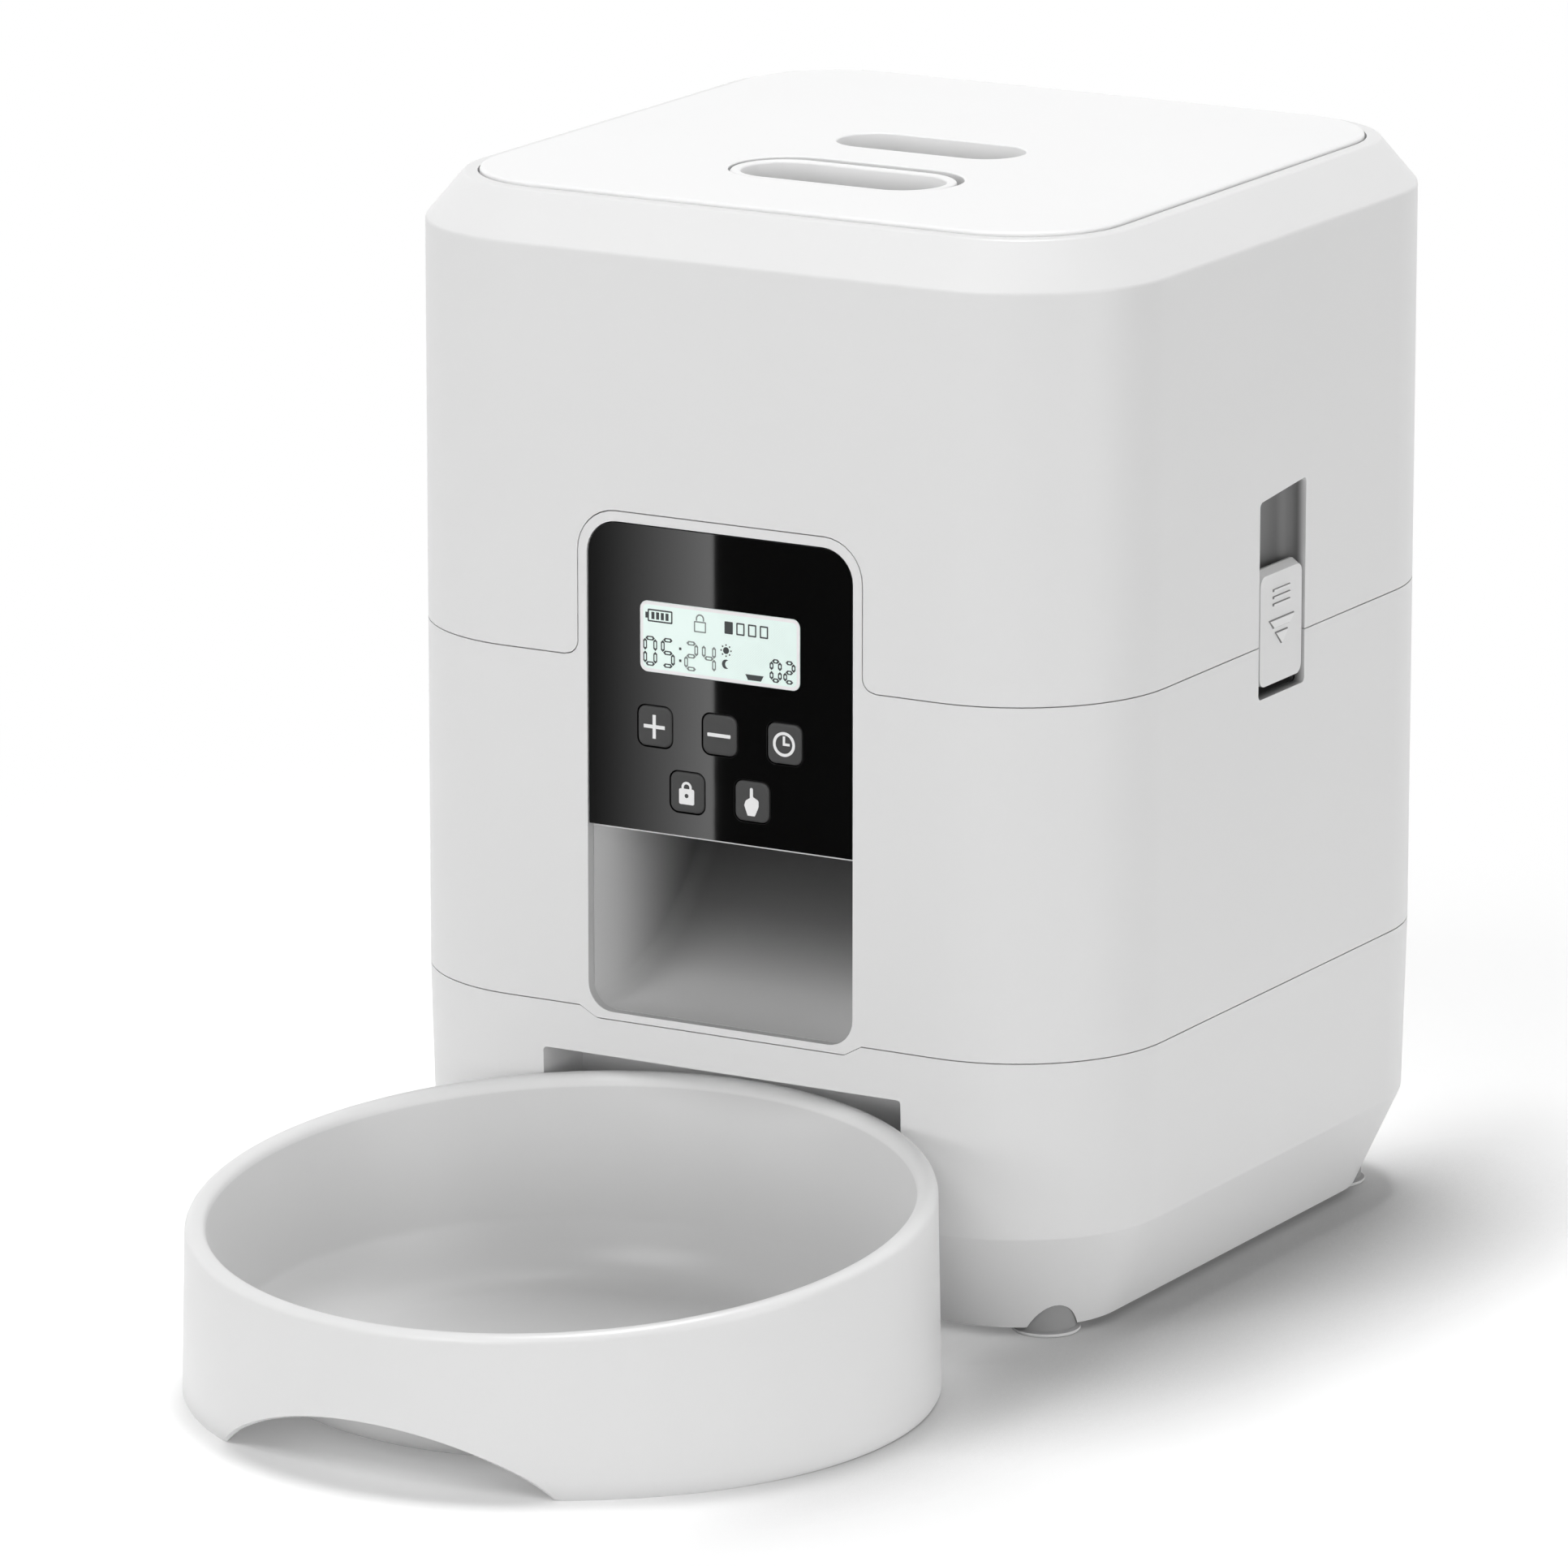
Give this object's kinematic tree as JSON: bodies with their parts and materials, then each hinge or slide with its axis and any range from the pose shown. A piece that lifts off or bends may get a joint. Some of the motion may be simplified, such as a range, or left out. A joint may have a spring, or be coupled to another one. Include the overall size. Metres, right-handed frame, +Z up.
{
  "type": "automatic pet feeder",
  "caption": "Gravity-fed pet feeder: lidded food hopper over a motor housing with a control panel and an open chute, on a battery base with a pull-out round bowl.",
  "frame": {"origin": "on the floor under the middle of the whole object, bowl included", "axes": "+Z up, -Y towards the bowl and the control panel, +X to the right of someone who faces the panel"},
  "size_m": [0.19, 0.3482, 0.258],
  "materials": {
    "white_shell": "fine satin moulding, light grey white",
    "inner_white": "plain moulding",
    "panel_gloss": "high gloss black cover",
    "display_window": "pale mint liquid crystal display",
    "key_caps": "satin black with pale symbols",
    "black_plastic": "plain black moulding",
    "board": "solder mask",
    "steel_parts": "plated steel",
    "cell_casing": "plain wrapped cell",
    "foot_rubber": "soft grey",
    "gasket_rubber": "soft translucent white",
    "rotor_soft": "soft silicone"
  },
  "bodies": {
    "base": {"base_floor": "inner_white", "base_shell": "white_shell", "battery_cell_1": "cell_casing", "battery_cell_2": "cell_casing", "battery_cell_3": "cell_casing", "battery_compartment": "inner_white", "battery_contact_front": "steel_parts", "battery_contact_rear": "steel_parts", "chute": "inner_white", "control_board": "board", "display": "display_window", "floor_screw_front_left": "steel_parts", "floor_screw_front_right": "steel_parts", "floor_screw_rear_left": "steel_parts", "floor_screw_rear_right": "steel_parts", "foot_front_left": "foot_rubber", "foot_front_right": "foot_rubber", "foot_rear_left": "foot_rubber", "foot_rear_right": "foot_rubber", "front_panel": "panel_gloss", "gearbox": "black_plastic", "gearbox_screw_1": "steel_parts", "gearbox_screw_2": "steel_parts", "housing_deck": "inner_white", "housing_screw_front_left": "steel_parts", "housing_screw_front_right": "steel_parts", "housing_screw_rear_left": "steel_parts", "housing_screw_rear_right": "steel_parts", "lock_tray_left": "black_plastic", "lock_tray_right": "black_plastic", "middle_housing": "white_shell", "motor": "steel_parts", "panel_back_cover": "black_plastic", "panel_carrier": "black_plastic", "power_inlet": "black_plastic"},
    "battery_door": {"battery_door": "inner_white"},
    "drive_shaft": {"drive_shaft": "steel_parts"},
    "hopper": {"hopper_shell": "white_shell", "hopper_funnel": "inner_white", "metering_cup": "inner_white", "metering_shield": "inner_white"},
    "rotor": {"rotor": "rotor_soft"},
    "side_lock_left": {"side_lock_left": "white_shell"},
    "side_lock_right": {"side_lock_right": "white_shell"},
    "lid": {"lid": "white_shell", "lid_gasket": "gasket_rubber", "latch_cover": "inner_white"},
    "lid_latch": {"lid_latch": "white_shell"},
    "desiccant_box": {"desiccant_box": "inner_white"},
    "bowl": {"bowl": "white_shell"},
    "key_plus": {"key_plus": "key_caps"},
    "key_minus": {"key_minus": "key_caps"},
    "key_set": {"key_set": "key_caps"},
    "key_lock": {"key_lock": "key_caps"},
    "key_feed": {"key_feed": "key_caps"}
  },
  "joints": [
    {"name": "bowl_slide", "type": "slide", "parent": "base", "child": "bowl", "axis": [0, -1, 0], "range_m": [0, 0.12]},
    {"name": "hopper_lift", "type": "slide", "parent": "base", "child": "hopper", "axis": [0, 0, 1], "range_m": [0, 0.16]},
    {"name": "lid_lift", "type": "slide", "parent": "hopper", "child": "lid", "axis": [0, 0, 1], "range_m": [0, 0.12]},
    {"name": "lid_latch_slide", "type": "slide", "parent": "lid", "child": "lid_latch", "axis": [0, 1, 0], "range_m": [0, 0.0026], "stiffness_N_per_m": 900, "springref_m": -0.001},
    {"name": "desiccant_twist", "type": "hinge", "parent": "lid", "child": "desiccant_box", "pos_m": [0, 0.12408, 0.248], "axis": [0, 0, 1], "range_deg": [0, 30]},
    {"name": "side_lock_right_slide", "type": "slide", "parent": "hopper", "child": "side_lock_right", "axis": [0, 0, 1], "range_m": [0, 0.0155]},
    {"name": "side_lock_left_slide", "type": "slide", "parent": "hopper", "child": "side_lock_left", "axis": [0, 0, 1], "range_m": [0, 0.0155]},
    {"name": "rotor_spin", "type": "hinge", "parent": "hopper", "child": "rotor", "pos_m": [0, 0.07808, 0.165], "axis": [0, 0, 1], "continuous": true},
    {"name": "drive_shaft_spin", "type": "hinge", "parent": "base", "child": "drive_shaft", "pos_m": [0, 0.07808, 0.14], "axis": [0, 0, 1], "continuous": true},
    {"name": "battery_door_slide", "type": "slide", "parent": "base", "child": "battery_door", "axis": [0, 0, -1], "range_m": [0, 0.06]},
    {"name": "key_plus_press", "type": "slide", "parent": "base", "child": "key_plus", "axis": [0, 1, 0], "range_m": [0, 0.0008], "stiffness_N_per_m": 1500, "springref_m": -0.0004},
    {"name": "key_minus_press", "type": "slide", "parent": "base", "child": "key_minus", "axis": [0, 1, 0], "range_m": [0, 0.0008], "stiffness_N_per_m": 1500, "springref_m": -0.0004},
    {"name": "key_set_press", "type": "slide", "parent": "base", "child": "key_set", "axis": [0, 1, 0], "range_m": [0, 0.0008], "stiffness_N_per_m": 1500, "springref_m": -0.0004},
    {"name": "key_lock_press", "type": "slide", "parent": "base", "child": "key_lock", "axis": [0, 1, 0], "range_m": [0, 0.0008], "stiffness_N_per_m": 1500, "springref_m": -0.0004},
    {"name": "key_feed_press", "type": "slide", "parent": "base", "child": "key_feed", "axis": [0, 1, 0], "range_m": [0, 0.0008], "stiffness_N_per_m": 1500, "springref_m": -0.0004}
  ],
  "couplings": [
    {"joint": "drive_shaft_spin", "follows": "rotor_spin", "ratio": 1}
  ]
}
